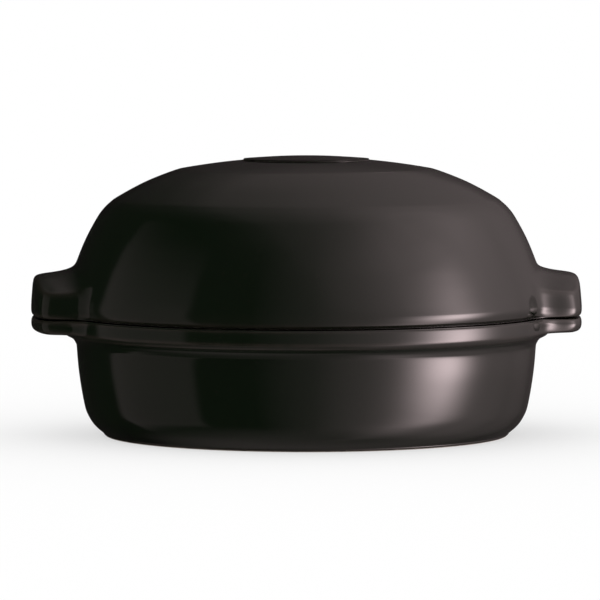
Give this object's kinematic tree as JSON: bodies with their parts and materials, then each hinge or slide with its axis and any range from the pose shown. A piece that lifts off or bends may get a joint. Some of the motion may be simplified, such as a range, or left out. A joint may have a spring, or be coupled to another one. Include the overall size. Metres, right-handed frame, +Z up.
{
  "type": "covered cheese baker",
  "caption": "Round covered baker for a small soft cheese: a low dish with a beaded rim and side ears, under a domed lid with matching ears that lifts straight off.",
  "frame": {"origin": "on the table under the middle of the foot", "axes": "+X through the ears, +Z up, -Y towards the viewer of the picture"},
  "size_m": [0.197, 0.175, 0.1],
  "materials": {
    "dish_glaze": "gloss charcoal glaze",
    "lid_glaze": "gloss charcoal glaze"
  },
  "bodies": {
    "dish": {"dish": "dish_glaze"},
    "lid": {"lid": "lid_glaze"}
  },
  "joints": [
    {"name": "lid_lift", "type": "slide", "parent": "dish", "child": "lid", "axis": [0, 0, 1], "range_m": [0, 0.15]}
  ]
}
